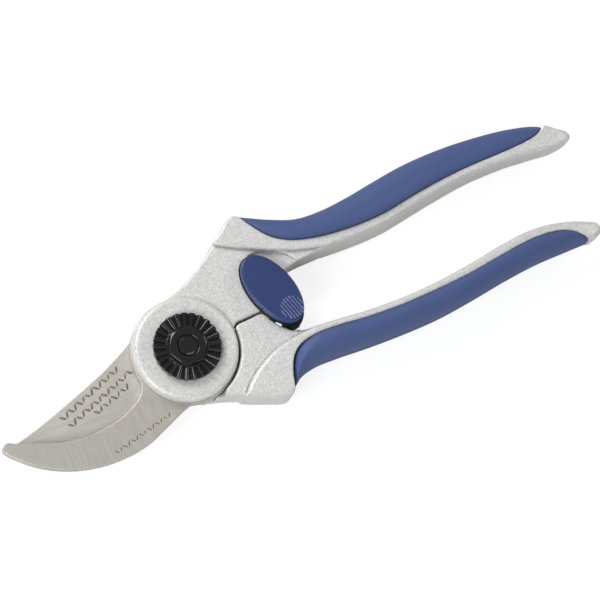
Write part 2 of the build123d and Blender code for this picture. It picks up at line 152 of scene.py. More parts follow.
UPPER_INNER = smooth_path([(57.0, 14.6), (64.0, 14.4), (72.0, 14.4), (80.0, 15.0), (90.2, 16.8), (100.1, 18.4),
                           (112.0, 19.6), (125.0, 19.6), (136.0, 18.8), (143.0, 18.1), (147.2, 18.3)])
UPPER_END = smooth_path([(147.2, 18.3), (149.4, 18.8), (150.2, 20.0), (149.3, 21.7), (146.6, 23.2)])
UPPER_OUTER = smooth_path([(146.6, 23.2), (141.0, 26.9), (131.0, 29.4), (118.0, 30.8), (105.0, 31.3),
                           (92.0, 30.7), (80.0, 29.0), (70.0, 27.4), (60.0, 26.5), (51.3, 27.1), (43.4, 30.1),
                           (37.0, 33.4), (33.4, 35.4)])
LOWER_INNER = smooth_path([(41.0, -8.6), (50.0, -9.2), (60.0, -10.1), (71.0, -10.5), (82.0, -10.2),
                           (92.0, -9.3), (102.0, -7.9), (112.0, -6.3), (121.0, -5.4), (129.0, -5.8),
                           (137.0, -7.5), (143.0, -9.5)])
LOWER_END = smooth_path([(143.0, -9.5), (145.3, -10.4), (146.5, -12.4), (145.6, -14.2), (142.2, -15.3)])
LOWER_OUTER = smooth_path([(142.2, -15.3), (134.0, -15.2), (122.0, -15.3), (110.0, -16.5), (97.0, -18.4),
                           (84.0, -19.9), (71.0, -20.3), (58.0, -20.1), (47.0, -19.6), (39.0, -19.7),
                           (33.2, -21.2), (28.8, -24.2)])
UPPER_GRIP_LINE = [(31.9, 38.4), (34.1, 33.7), (37.3, 28.6), (41.0, 24.1), (46.0, 21.0), (52.0, 19.1),
                   (60.0, 17.8), (71.0, 17.3), (80.0, 17.8), (90.0, 19.5), (100.0, 20.9), (112.0, 21.9),
                   (124.0, 22.2), (133.0, 22.8), (139.5, 24.1), (145.5, 27.5)]
LOWER_GRIP_LINE = [(27.2, -28.5), (28.3, -22.8), (30.0, -18.2), (32.2, -14.8), (35.5, -12.5), (41.0, -11.3),
                   (50.0, -11.5), (60.0, -12.5), (72.0, -12.9), (84.0, -12.5), (96.0, -11.7), (108.0, -10.1),
                   (118.0, -8.8), (126.0, -8.5), (132.0, -9.3), (135.5, -10.7),
                   (138.6, -12.9), (141.4, -15.4), (143.5, -18.2)]

upper_head = outline(
    arc(BOSS_RADIUS, 185, 92),
    smooth_path([(0.0, 17.0), (10.0, 20.9), (20.0, 27.0), (29.4, 34.2)]),
    smooth_path([(30.3, 34.8), (31.6, 34.9), (33.2, 34.1)]),
    [(44.0, 26.0), (60.0, 18.0), (60.0, 14.6)],
    smooth_path([(57.0, 14.6), (50.0, 14.1), (45.0, 13.5), (40.6, 12.2)]),
    [(41.8, 10.0), (41.8, 2.6), (31.5, 2.8), (29.0, 2.75), (20.2, 2.4)],
    smooth_path([(20.2, 2.4), (18.9, 2.0), (17.6, 0.9)]),
    [(0.0, -5.0)],
)
upper_raised = outline(
    smooth_path([(22.0, 28.9), (24.0, 27.6), (30.0, 24.3), (38.0, 20.4), (46.0, 17.4), (52.0, 15.7)]),
    UPPER_INNER, UPPER_END, UPPER_OUTER[:-16],
    smooth_path([(33.8, 34.3), (31.8, 35.0), (29.6, 34.3), (26.0, 31.4)]),
)
upper_handle_plan = outline(UPPER_INNER, UPPER_END, UPPER_OUTER, [(31.6, 35.6), (36.0, 24.0), (46.0, 17.6)])
lower_head = outline(
    arc(ROUND_GAP + 0.02, -71, 1.5),
    smooth_path([(18.1, 0.4), (18.7, 1.1), (19.9, 1.45)]),
    smooth_path([(24.0, 1.65), (28.2, 1.8), (28.9, 1.2), (30.3, -1.8),
                 (32.8, -5.0), (35.8, -7.4), (41.0, -8.6)]),
    [(50.0, -12.0), (50.0, -15.0), (40.0, -19.0)],
    smooth_path([(31.6, -22.2), (29.0, -24.0), (27.2, -25.9), (25.2, -26.4), (20.0, -24.4), (10.0, -20.0),
                 (4.0, -18.0), (2.2, -17.6), (1.7, -17.2)]),
)
lower_raised = outline(
    smooth_path([(41.0, -8.6), (34.0, -9.4), (27.0, -11.0), (20.0, -14.3), (15.0, -18.0), (12.0, -21.2)]),
    smooth_path([(15.0, -22.6), (20.0, -24.6), (25.2, -26.4), (27.2, -25.9), (28.8, -24.2)]),
    LOWER_OUTER[::-1], LOWER_END[::-1], LOWER_INNER[::-1],
)
lower_handle_plan = outline(LOWER_INNER, LOWER_END, LOWER_OUTER,
                            smooth_path([(28.8, -24.2), (29.5, -19.0), (33.0, -13.0), (41.0, -8.6)]))
hook_plan = outline(
    smooth_path([(-5.2, -16.9), (-9.0, -18.2), (-15.0, -20.7), (-24.0, -24.0), (-36.0, -25.0), (-48.5, -22.7),
                 (-59.0, -17.4), (-66.0, -11.2)]),
    smooth_path([(-66.0, -11.2), (-67.5, -8.6), (-66.9, -6.9), (-65.6, -6.5), (-62.6, -7.8)]),
    smooth_path([(-62.6, -7.8), (-54.3, -11.0), (-47.0, -13.3), (-39.0, -14.0), (-30.0, -13.0), (-23.5, -10.7),
                 (-19.2, -8.0), (-17.3, -4.4)]),
    arc(JAW_HEAD_RADIUS, 192, -98, steps=90),
)
blade_plan = outline(
    smooth_path([(-9.5, 13.4), (-18.4, 8.2), (-26.0, 4.6), (-34.4, 1.4), (-44.0, -1.9), (-53.4, -4.9),
                 (-61.7, -7.1)]),
    smooth_path([(-61.7, -7.5), (-54.0, -12.0), (-45.0, -15.4), (-35.0, -16.0), (-25.0, -13.8), (-17.0, -8.5)]),
    [(-14.5, -10.0), (0.0, -17.7)],
    arc(JAW_HEAD_RADIUS, -90, 127, steps=60),
)

# ---------------------------------------------------------------- distance fields and their mesher


def plan_distance(x, y, closed_outline):
    """Signed distance in plan to a closed outline, negative inside."""
    xx, yy = np.broadcast_arrays(x, y)
    best = np.full(xx.shape, 1e9)
    inside = np.zeros(xx.shape, bool)
    ends = np.roll(closed_outline, -1, 0)
    for (ax, ay), (bx, by) in zip(closed_outline, ends):
        ex, ey = bx - ax, by - ay
        length2 = ex * ex + ey * ey
        if length2 < 1e-12:
            continue
        t = np.clip(((xx - ax) * ex + (yy - ay) * ey) / length2, 0, 1)
        best = np.minimum(best, (xx - ax - t * ex) ** 2 + (yy - ay - t * ey) ** 2)
        if ay != by:
            crosses = (yy >= min(ay, by)) & (yy < max(ay, by))
            inside ^= crosses & (xx < ax + (yy - ay) * ex / ey)
    distance = np.sqrt(best)
    return np.where(inside, -distance, distance)


def plan_map(closed_outline, margin=3.0, pitch=0.25):
    """The outline's signed distance as a function of x and y, read between samples on a fine grid."""
    low = closed_outline.min(0) - margin
    count = np.ceil((closed_outline.max(0) + margin - low) / pitch).astype(int) + 1
    xs = low[0] + pitch * np.arange(count[0])
    ys = low[1] + pitch * np.arange(count[1])
    table = plan_distance(xs[:, None], ys[None, :], closed_outline)

    def read(x, y):
        u = np.clip((x - low[0]) / pitch, 0, count[0] - 1.001)
        v = np.clip((y - low[1]) / pitch, 0, count[1] - 1.001)
        i, j = u.astype(int), v.astype(int)
        fu, fv = u - i, v - j
        near = table[i, j] * (1 - fu) + table[i + 1, j] * fu
        far = table[i, j + 1] * (1 - fu) + table[i + 1, j + 1] * fu
        return near * (1 - fv) + far * fv

    return read


def rounded_edge(side, top, radius):
    """Distance to a body whose side and top meet in a rounded edge."""
    across = side + radius
    along = top + radius
    outer = np.hypot(np.maximum(across, 0), np.maximum(along, 0))
    return outer + np.minimum(np.maximum(across, along), 0) - radius


def plate_field(plan, z, low, high, edge):
    """A plan shape with thickness whose edges are rounded."""
    middle, half = (low + high) / 2, (high - low) / 2
    return rounded_edge(plan, np.abs(z - middle) - half, edge)


def join(a, b, blend):
    """Two bodies as one, with a fillet where they meet."""
    h = np.clip(0.5 + 0.5 * (b - a) / blend, 0, 1)
    return b * (1 - h) + a * h - blend * h * (1 - h)


def cut(a, b, blend):
    """Body a less body b, with a rounded edge."""
    return -join(-a, b, blend)


def both(a, b, blend):
    """What two bodies share, with a rounded edge."""
    return -join(-a, -b, blend)


def round_distance(x, y, radius, centre=(0.0, 0.0)):
    return np.hypot(x - centre[0], y - centre[1]) - radius


def eased(x, knots, values):
    """A smooth curve through values at knots, level outside them."""
    knots, values = np.array(knots, float), np.array(values, float)
    slopes = np.gradient(values, knots)
    i = np.clip(np.searchsorted(knots, x) - 1, 0, len(knots) - 2)
    span = knots[i + 1] - knots[i]
    t = np.clip((x - knots[i]) / span, 0, 1)
    a = (2 * t ** 3 - 3 * t ** 2 + 1) * values[i] + (t ** 3 - 2 * t ** 2 + t) * span * slopes[i]
    return a + (3 * t ** 2 - 2 * t ** 3) * values[i + 1] + (t ** 3 - t ** 2) * span * slopes[i + 1]


def net_surface(field, low, high, pitch):
    """Points and quads on a field's zero surface: one point in each cell the surface passes through."""
    axes = [np.arange(low[i] - 2 * pitch, high[i] + 3 * pitch, pitch) for i in range(3)]
    d = field(axes[0][:, None, None], axes[1][None, :, None], axes[2][None, None, :])
    inside = d < 0
    shape = np.array(d.shape) - 1
    count = np.zeros(tuple(shape), np.int8)
    for i, j, k in np.ndindex(2, 2, 2):
        count += inside[i:i + shape[0], j:j + shape[1], k:k + shape[2]]
    cells = np.argwhere((count > 0) & (count < 8))
    total = np.zeros((len(cells), 3))
    hits = np.zeros(len(cells))
    for axis in range(3):
        others = [a for a in range(3) if a != axis]
        for u in (0, 1):
            for v in (0, 1):
                start = cells.copy()
                start[:, others[0]] += u
                start[:, others[1]] += v
                stop = start.copy()
                stop[:, axis] += 1
                d0 = d[tuple(start.T)]
                d1 = d[tuple(stop.T)]
                crossing = (d0 < 0) != (d1 < 0)
                t = np.where(crossing, d0 / np.where(crossing, d0 - d1, 1), 0)
                point = start.astype(float)
                point[:, axis] += t
                total += point * crossing[:, None]
                hits += crossing
    points = total / hits[:, None]
    points = points * pitch + np.array([a[0] for a in axes])
    number = np.full(tuple(shape), -1, np.int64)
    number[tuple(cells.T)] = np.arange(len(cells))
    quads = []
    for axis in range(3):
        o1, o2 = [(1, 2), (2, 0), (0, 1)][axis]
        a = [slice(None)] * 3
        b = [slice(None)] * 3
        a[axis], b[axis] = slice(0, -1), slice(1, None)
        change = np.argwhere(inside[tuple(a)] != inside[tuple(b)])
        keep = (change[:, o1] > 0) & (change[:, o2] > 0)
        keep &= (change[:, o1] < shape[o1]) & (change[:, o2] < shape[o2])
        change = change[keep]
        ring = []
        for s1, s2 in ((-1, -1), (0, -1), (0, 0), (-1, 0)):
            cell = change.copy()
            cell[:, o1] += s1
            cell[:, o2] += s2
            ring.append(number[tuple(cell.T)])
        ring = np.stack(ring, 1)
        flip = ~inside[tuple(change.T)]
        ring[flip] = ring[flip][:, ::-1]
        quads.append(ring)
    return points, np.vstack(quads)


def settle(field, points, pitch, rounds=3):
    """Moves points onto the zero surface along the field's slope."""
    step = 0.02
    for _ in range(rounds):
        x, y, z = points.T
        value = field(x, y, z)
        slope = np.stack([
            field(x + step, y, z) - field(x - step, y, z),
            field(x, y + step, z) - field(x, y - step, z),
            field(x, y, z + step) - field(x, y, z - step),
        ], 1) / (2 * step)
        size = np.maximum((slope ** 2).sum(1), 0.15)
        move = -(value / size)[:, None] * slope
        length = np.maximum(np.linalg.norm(move, axis=1, keepdims=True), 1e-9)
        points = points + move * np.minimum(1, 0.5 * pitch / length)
    return points


def mesh_piece(name, points_mm, faces, material, smooth=True):
    mesh = bpy.data.meshes.new(name)
    mesh.from_pydata((np.asarray(points_mm) * MM).tolist(), [], [list(map(int, f)) for f in faces])
    mesh.validate()
    mesh.materials.append(material)
    mesh.polygons.foreach_set("use_smooth", np.full(len(mesh.polygons), smooth))
    mesh.update()
    piece = bpy.data.objects.new(name, mesh)
    bpy.context.scene.collection.objects.link(piece)
    return piece


def face_outward(piece, join_doubles=False):
    """Turns a closed piece's faces outward, after joining its doubled points where asked."""
    shell = bmesh.new()
    shell.from_mesh(piece.data)
    if join_doubles:
        bmesh.ops.remove_doubles(shell, verts=shell.verts, dist=1e-7)
        bmesh.ops.dissolve_degenerate(shell, edges=shell.edges, dist=1e-7)
    bmesh.ops.recalc_face_normals(shell, faces=shell.faces)
    shell.to_mesh(piece.data)
    shell.free()


def field_piece(name, field, low, high, pitch, material, body, node):
    points, quads = net_surface(field, low, high, pitch)
    points = settle(field, points, pitch)
    piece = mesh_piece(name, points, quads, material)
    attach(piece, body)
    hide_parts(node)
    return piece


# ---------------------------------------------------------------- shader groups and materials


def shader_group(name, inputs, outputs):
    """A new shader node group with named float or colour inputs and outputs."""
    group = bpy.data.node_groups.new(name, "ShaderNodeTree")
    for label, kind, value in inputs:
        socket = group.interface.new_socket(label, in_out="INPUT", socket_type="NodeSocket" + kind)
        socket.default_value = value
    for label, kind in outputs:
        group.interface.new_socket(label, in_out="OUTPUT", socket_type="NodeSocket" + kind)
    return group, group.nodes.new("NodeGroupInput"), group.nodes.new("NodeGroupOutput")


def math_node(tree, operation, first, second=None, third=None):
    """A math node's result. Its inputs are numbers or other nodes' outputs."""
    node = tree.nodes.new("ShaderNodeMath")
    node.operation = operation
    for socket, value in zip(node.inputs, (first, second, third)):
        if value is None:
            continue
        if isinstance(value, (int, float)):
            socket.default_value = value
        else:
            tree.links.new(value, socket)
    return node.outputs[0]


def mix_colour(tree, factor, first, second):
    node = tree.nodes.new("ShaderNodeMix")
    node.data_type = "RGBA"
    for socket, value in ((node.inputs["Factor"], factor), (node.inputs[6], first), (node.inputs[7], second)):
        if isinstance(value, (tuple, list)):
            socket.default_value = (*value, 1.0)
        elif isinstance(value, (int, float)):
            socket.default_value = value
        else:
            tree.links.new(value, socket)
    return node.outputs[2]


def mapped(tree, value, low, high, to_low, to_high):
    node = tree.nodes.new("ShaderNodeMapRange")
    node.interpolation_type = "SMOOTHSTEP"
    tree.links.new(value, node.inputs["Value"])
    for label, number in (("From Min", low), ("From Max", high), ("To Min", to_low), ("To Max", to_high)):
        if isinstance(number, (int, float)):
            node.inputs[label].default_value = number
        else:
            tree.links.new(number, node.inputs[label])
    return node.outputs["Result"]


def noise(tree, vector, scale, detail=3.0, roughness=0.5):
    node = tree.nodes.new("ShaderNodeTexNoise")
    node.inputs["Detail"].default_value = detail
    node.inputs["Roughness"].default_value = roughness
    tree.links.new(vector, node.inputs["Vector"])
    if isinstance(scale, (int, float)):
        node.inputs["Scale"].default_value = scale
    else:
        tree.links.new(scale, node.inputs["Scale"])
    return node.outputs["Fac"]


def object_place(tree):
    return tree.nodes.new("ShaderNodeTexCoord").outputs["Object"]


def build_drift():
    """Slow change of tone over a surface, with a finer mottling on top."""
    group, given, out = shader_group(
        "tone_drift", [("Scale", "Float", 60.0), ("Amount", "Float", 0.1)], [("Tone", "Float")])
    place = object_place(group)
    slow = noise(group, place, given.outputs["Scale"], 2.0)
    fine = noise(group, place, math_node(group, "MULTIPLY", given.outputs["Scale"], 11.0), 4.0)
    both_tones = math_node(group, "ADD", math_node(group, "MULTIPLY", slow, 0.7),
                           math_node(group, "MULTIPLY", fine, 0.3))
    centred = math_node(group, "SUBTRACT", both_tones, 0.5)
    tone = math_node(group, "MULTIPLY_ADD", centred, given.outputs["Amount"], 1.0)
    group.links.new(tone, out.inputs["Tone"])
    return group


def build_grain():
    """Fine grain: a height for bump and a mask of its high spots."""
    group, given, out = shader_group(
        "fine_grain", [("Scale", "Float", 2500.0), ("Stretch X", "Float", 1.0), ("Stretch Y", "Float", 1.0)],
        [("Height", "Float"), ("High Spots", "Float")])
    mapping = group.nodes.new("ShaderNodeMapping")
    stretch = group.nodes.new("ShaderNodeCombineXYZ")
    stretch.inputs["Z"].default_value = 1.0
    group.links.new(given.outputs["Stretch X"], stretch.inputs["X"])
    group.links.new(given.outputs["Stretch Y"], stretch.inputs["Y"])
    group.links.new(object_place(group), mapping.inputs["Vector"])
    group.links.new(stretch.outputs[0], mapping.inputs["Scale"])
    height = noise(group, mapping.outputs[0], given.outputs["Scale"], 3.0, 0.6)
    group.links.new(height, out.inputs["Height"])
    group.links.new(mapped(group, height, 0.56, 0.70, 0.0, 1.0), out.inputs["High Spots"])
    return group


def build_wear_and_hollow_shade():
    """Wear on sharp outer edges, broken up by noise, and a mask of hollows for painted shade."""
    group, given, out = shader_group(
        "edge_wear_and_hollow_shade", [("Start", "Float", 0.53), ("End", "Float", 0.60)],
        [("Mask", "Float"), ("Hollow Shade", "Float")])
    pointiness = group.nodes.new("ShaderNodeNewGeometry").outputs["Pointiness"]
    edge = mapped(group, pointiness, given.outputs["Start"], given.outputs["End"], 0.0, 1.0)
    broken = mapped(group, noise(group, object_place(group), 900.0, 4.0), 0.35, 0.6, 0.2, 1.0)
    group.links.new(math_node(group, "MULTIPLY", edge, broken), out.inputs["Mask"])
    # painted shade: this mask is high in hollows and creases, where the colour is darkened
    group.links.new(mapped(group, pointiness, 0.40, 0.48, 1.0, 0.0), out.inputs["Hollow Shade"])
    return group


TONE_DRIFT = build_drift()
FINE_GRAIN = build_grain()
EDGE_WEAR_AND_HOLLOW_SHADE = build_wear_and_hollow_shade()


def place_group(tree, group, **values):
    node = tree.nodes.new("ShaderNodeGroup")
    node.node_tree = group
    for label, value in values.items():
        node.inputs[label.replace("_", " ")].default_value = value
    return node.outputs


def start_material(name, **constants):
    """A material whose constants are set on the shader's own sockets."""
    material = bpy.data.materials.new(name)
    material.use_nodes = True
    tree = material.node_tree
    shader = tree.nodes["Principled BSDF"]
    for label, value in constants.items():
        shader.inputs[label.replace("_", " ")].default_value = value
    return material, tree, shader


def toned(tree, colour, tone):
    """A colour made lighter or darker by a tone near 1."""
    node = tree.nodes.new("ShaderNodeVectorMath")
    node.operation = "SCALE"
    if isinstance(colour, (tuple, list)):
        node.inputs[0].default_value = colour
    else:
        tree.links.new(colour, node.inputs[0])
    tree.links.new(tone, node.inputs["Scale"])
    return node.outputs[0]


def add_bump(tree, shader, height, distance):
    bump = tree.nodes.new("ShaderNodeBump")
    bump.inputs["Distance"].default_value = distance
    tree.links.new(height, bump.inputs["Height"])
    tree.links.new(bump.outputs["Normal"], shader.inputs["Normal"])


def sparkle_coating():
    """Light silver paint with fine metal flakes and an orange-peel surface, with painted shade in its hollows.
    """
    material, tree, shader = start_material("silver_coating", Specular_IOR_Level=0.5)
    cells = tree.nodes.new("ShaderNodeTexVoronoi")
    cells.inputs["Scale"].default_value = 3000.0
    tree.links.new(object_place(tree), cells.inputs["Vector"])
    flake = tree.nodes.new("ShaderNodeSeparateColor")
    tree.links.new(cells.outputs["Color"], flake.inputs["Color"])
    flake_tone = mapped(tree, flake.outputs[0], 0.0, 1.0, 0.84, 1.08)
    drift = place_group(tree, TONE_DRIFT, Scale=45.0, Amount=0.08)["Tone"]
    hollow_shade = place_group(tree, EDGE_WEAR_AND_HOLLOW_SHADE)["Hollow Shade"]
    # painted shade: the silver is darkened by up to 55% in hollows and creases
    shaded = math_node(tree, "MULTIPLY_ADD", hollow_shade, -0.55, 1.0)
    tone = math_node(tree, "MULTIPLY", math_node(tree, "MULTIPLY", flake_tone, drift), shaded)
    colour = toned(tree, (0.70, 0.702, 0.69), tone)
    tree.links.new(colour, shader.inputs["Base Color"])
    tree.links.new(mapped(tree, flake.outputs[1], 0.0, 1.0, 0.34, 0.56), shader.inputs["Roughness"])
    tree.links.new(mapped(tree, flake.outputs[2], 0.55, 0.95, 0.12, 0.40), shader.inputs["Metallic"])
    grain = place_group(tree, FINE_GRAIN, Scale=2200.0)
    add_bump(tree, shader, grain["Height"], 0.00003)
    return material


def worn_edges(tree, plain, bright, start, end, amount):
    """A colour that turns into a brighter one on sharp outer edges."""
    worn = place_group(tree, EDGE_WEAR_AND_HOLLOW_SHADE, Start=start, End=end)["Mask"]
    return mix_colour(tree, math_node(tree, "MULTIPLY", worn, amount), plain, bright)


def grained_surface(name, colour, drift, grain_scale, roughness, bump=0.0, worn=None, **constants):
    """A surface whose tone drifts slowly, with fine grain in its roughness and height."""
    material, tree, shader = start_material(name, **constants)
    tone = place_group(tree, TONE_DRIFT, Scale=drift[0], Amount=drift[1])["Tone"]
    grain = place_group(tree, FINE_GRAIN, Scale=grain_scale)
    if worn:
        colour = worn_edges(tree, colour, *worn)
    tree.links.new(toned(tree, colour, tone), shader.inputs["Base Color"])
    tree.links.new(mapped(tree, grain["Height"], 0.3, 0.7, *roughness), shader.inputs["Roughness"])
    if bump:
        add_bump(tree, shader, grain["Height"], bump)
    return material


def ground_steel(name, colour, roughness, along_x, along_y):
    """Satin steel with fine grinding lines."""
    material, tree, shader = start_material(name, Metallic=0.5)
    lines = place_group(tree, FINE_GRAIN, Scale=1500.0, Stretch_X=along_x, Stretch_Y=along_y)
    drift = place_group(tree, TONE_DRIFT, Scale=55.0, Amount=0.14)["Tone"]
    line_tone = mapped(tree, lines["Height"], 0.3, 0.7, 0.985, 1.01)
    plain = toned(tree, colour, math_node(tree, "MULTIPLY", drift, line_tone))
    bright = tuple(channel * 1.3 for channel in colour)
    tree.links.new(worn_edges(tree, plain, bright, 0.52, 0.58, 0.2), shader.inputs["Base Color"])
    tree.links.new(mapped(tree, lines["Height"], 0.3, 0.7, roughness - 0.05, roughness + 0.07),
                   shader.inputs["Roughness"])
    add_bump(tree, shader, lines["Height"], 0.000003)
    return material


def moulded_gloss(name, colour, roughness, worn=None):
    """Glossy moulded or enamelled surface, whose edges may be slightly rubbed."""
    return grained_surface(name, colour, (120.0, 0.20), 1300.0, (roughness - 0.04, roughness + 0.06), 0.0000015,
                           worn)


def plain_metal(name, colour, roughness):
    """Turned or drawn metal with faint mottling."""
    return grained_surface(name, colour, (180.0, 0.22), 1800.0, (roughness - 0.05, roughness + 0.08), 0.000006,
                           Metallic=1.0)


SILVER = sparkle_coating()
GRIP = grained_surface("blue_grip", (0.060, 0.094, 0.235), (70.0, 0.16), 3200.0, (0.50, 0.66), 0.00002,
                       ((0.10, 0.145, 0.33), 0.52, 0.62, 0.35), Specular_IOR_Level=0.4)
HOOK_STEEL = ground_steel("jaw_steel", (0.54, 0.515, 0.475), 0.42, 1.0, 0.08)
BLADE_STEEL = ground_steel("blade_steel", (0.64, 0.62, 0.58), 0.40, 0.08, 1.0)
SCREW_STEEL = plain_metal("screw_steel", (0.46, 0.46, 0.45), 0.35)
BRIGHT_STEEL = plain_metal("bright_steel", (0.78, 0.78, 0.75), 0.18)
SPRING_STEEL = plain_metal("spring_steel", (0.40, 0.40, 0.41), 0.32)
BRONZE = plain_metal("bush_bronze", (0.52, 0.36, 0.18), 0.40)
BLACK_METAL = moulded_gloss("black_metal", (0.012, 0.012, 0.013), 0.16)
BLACK_PLASTIC = moulded_gloss("black_plastic", (0.010, 0.010, 0.011), 0.18,
                              ((0.04, 0.04, 0.04), 0.53, 0.62, 0.5))
BLUE_PLASTIC = moulded_gloss("blue_plastic", (0.030, 0.051, 0.155), 0.26,
                             ((0.10, 0.14, 0.34), 0.53, 0.62, 0.5))
# Lighter blue than the cap's: a painted sheen on the thumb ribs, with rubbed wear on their edges.
BLUE_RIBS_SHEEN_AND_WEAR = moulded_gloss("blue_ribs_sheen_and_wear", (0.055, 0.082, 0.215), 0.24,
                          ((0.16, 0.20, 0.40), 0.53, 0.62, 0.7))
ETCH = grained_surface("etched_mark", (0.23, 0.18, 0.13), (500.0, 0.7), 2600.0, (0.5, 0.7), Metallic=0.3)

# ---------------------------------------------------------------- castings and grips


def wall_cut(body, *sides):
    """A body less the space that is inside every one of the given sides."""
    space = sides[0]
    for side in sides[1:]:
        space = np.maximum(space, side)
    return np.maximum(body, -space)


def spring_bore(x, y, z):
    """The bore that holds the spring's seats, on the spring's axis."""
    axis = SPRING_END - SPRING_START
    length = np.linalg.norm(axis)
    axis = axis / length
    dx, dy, dz = x - SPRING_START[0], y - SPRING_START[1], z - SPRING_START[2]
    along = dx * axis[0] + dy * axis[1]
    radial = np.sqrt(np.maximum(dx ** 2 + dy ** 2 - along ** 2, 0) + dz ** 2) - SPRING_BORE
    return np.maximum(radial, np.maximum(-along - SPRING_BORE_PAST, along - length - SPRING_BORE_PAST))


def screw_holes(body, x, y, z, angle):
    """Counterbores in the back for the jaw's two screws."""
    for distance in SCREW_DISTANCES:
        centre = (distance * math.cos(math.radians(angle)), distance * math.sin(math.radians(angle)))
        body = wall_cut(body, round_distance(x, y, SCREW_BORE, centre), z - HEAD_BACK - SCREW_BORE_DEPTH)
    return body


def zone_outline(line, outside_y):
    """The side of a grip's edge line where the grip lies, closed well outside the handle."""
    edge = smooth_path(line)
    return outline(edge, [(edge[-1][0] + 9.0, outside_y), (edge[0][0] - 9.0, outside_y)])


upper_head_at = plan_map(upper_head)
upper_raised_at = plan_map(upper_raised)
upper_zone_at = plan_map(zone_outline(UPPER_GRIP_LINE, 46.0), 8.0)
lower_head_at = plan_map(lower_head)
lower_raised_at = plan_map(lower_raised)
lower_zone_at = plan_map(zone_outline(LOWER_GRIP_LINE, -38.0), 8.0)
lower_web_at = plan_map(np.array([
    (0, -15.5), (0, 0), (19.9, 1.4), (24, -5), (23, -20), (20, -24.0), (12, -19.5), (8, -16.5)], float))
travel_at = plan_map(LOCK[:2] + np.array([
    (0.0, 0.0), (-20.0, -20.0), (14.2, -24.6), (26.9, 8.7)]), 6.0)


def groove(body, z, beside, level, radius, *limits):
    """A fine round groove where a plan distance is zero, at one height, kept inside limits."""
    channel = np.hypot(beside, z - level) - radius
    for limit in limits:
        channel = np.maximum(channel, limit)
    return np.maximum(body, -channel)


def upper_casting(x, y, z):
    """The upper half's casting: head, front boss and handle, less its pockets, bores and fine lines."""
    draft = eased(x, [42, 52, 72, 104, 116, 127], [0.0, 0.45, 0.75, 0.75, 0.3, 0.0])
    draft = draft * np.clip((HEAD_FRONT - 1.5 - z) / 8.0, 0, 1)
    head = plate_field(upper_head_at(x, y) - draft, z, HEAD_BACK, HEAD_FRONT, eased(x, [26, 38], [0.8, 0.35]))
    boss = plate_field(round_distance(x, y, BOSS_RADIUS), z, HOOK_BACK, BOSS_FRONT, 1.6)
    half = eased(x, [110, 125, 135, 142, 148, 150.5], [BARE_HALF, 7.0, 6.5, 5.8, 4.4, 3.0])
    raised = plate_field(upper_raised_at(x, y) - draft, z, HANDLE_MID - half, HANDLE_MID + half, 0.7)
    body = join(head, boss, 0.8)
    body = join(body, raised, eased(x, [24, 32, 50], [0.5, 0.25, 0.2]))
    body = wall_cut(body, round_distance(x, y, ROUND_GAP), z - HOOK_FRONT - 0.02)
    body = cut(body, upper_zone_at(x, y) - SEAM, 0.3)
    lever = round_distance(x, y, LEVER_HUB_BORE, LOCK)
    sweep = round_distance(x, y, TRAVEL_RADIUS, LOCK)
    recess = round_distance(x, y, RECESS_RADIUS, LOCK)
    body = wall_cut(body, lever, LEVER_FLOOR - z)
    body = wall_cut(body, sweep, travel_at(x, y), LEVER_FLOOR - z)
    body = wall_cut(body, recess, LOCK[0] - 3.0 - x, RECESS_LEVEL - z)
    body = wall_cut(body, recess, HEAD_FRONT + 0.05 - z)
    body = groove(body, z, recess, RECESS_LEVEL + 0.1, 0.40, LOCK[0] - 3.0 - x, LOCK[1] + 6.0 - y)
    body = groove(body, z, upper_raised_at(x, y) - 0.1, HEAD_FRONT + 0.1, 0.38, x - 57.5, y - 29.0)
    body = groove(body, z, upper_raised_at(x, y), HANDLE_MID + half - 0.9, 0.5, 58.5 - x, x - 140.0,
                  -upper_zone_at(x, y))
    body = wall_cut(body, round_distance(x, y, PIN_BORE, LOCK), z - HEAD_BACK - PIN_BORE_DEPTH)
    body = wall_cut(body, spring_bore(x, y, z))
    return screw_holes(body, x, y, z, HOOK_SCREW_ANGLE)


def lower_casting(x, y, z):
    """The lower half's casting: head, back boss, the web that joins them, and handle."""
    head = plate_field(lower_head_at(x, y), z, HEAD_BACK, HEAD_FRONT, 0.8)
    back_boss = plate_field(round_distance(x, y, BACK_BOSS_RADIUS), z, BACK_BOSS, BLADE_BACK - RUNNING_GAP, 0.8)
    web = plate_field(lower_web_at(x, y), z, HEAD_BACK, BLADE_BACK - RUNNING_GAP, 0.4)
    half = eased(x, [108, 122, 132, 139, 144, 147], [BARE_HALF, 6.9, 6.3, 5.5, 4.2, 3.0])
    raised = plate_field(lower_raised_at(x, y), z, HANDLE_MID - half, HANDLE_MID + half, 1.3)
    body = join(join(head, web, 0.3), back_boss, 0.6)
    body = join(body, raised, eased(x, [12, 26, 40], [1.6, 0.7, 0.4]))
    body = groove(body, z, lower_raised_at(x, y) - 0.1, HEAD_FRONT + 0.1, 0.38, x - 41.0, -21.5 - y)
    body = groove(body, z, lower_raised_at(x, y) + 0.4, HANDLE_MID + half, 0.3, 42.0 - x, x - 132.0,
                  -lower_zone_at(x, y))
    body = wall_cut(body, round_distance(x, y, ROUND_GAP), BLADE_BACK - RUNNING_GAP - z)
    step = (x - HOOK_STEP[0]) * 0.85 - (y - HOOK_STEP[1]) * 0.525
    body = wall_cut(body, step, y + 14.0, HOOK_BACK - 0.1 - z)
    body = cut(body, lower_zone_at(x, y) - SEAM, 0.3)
    body = wall_cut(body, spring_bore(x, y, z))
    return screw_holes(body, x, y, z, BLADE_SCREW_ANGLE)


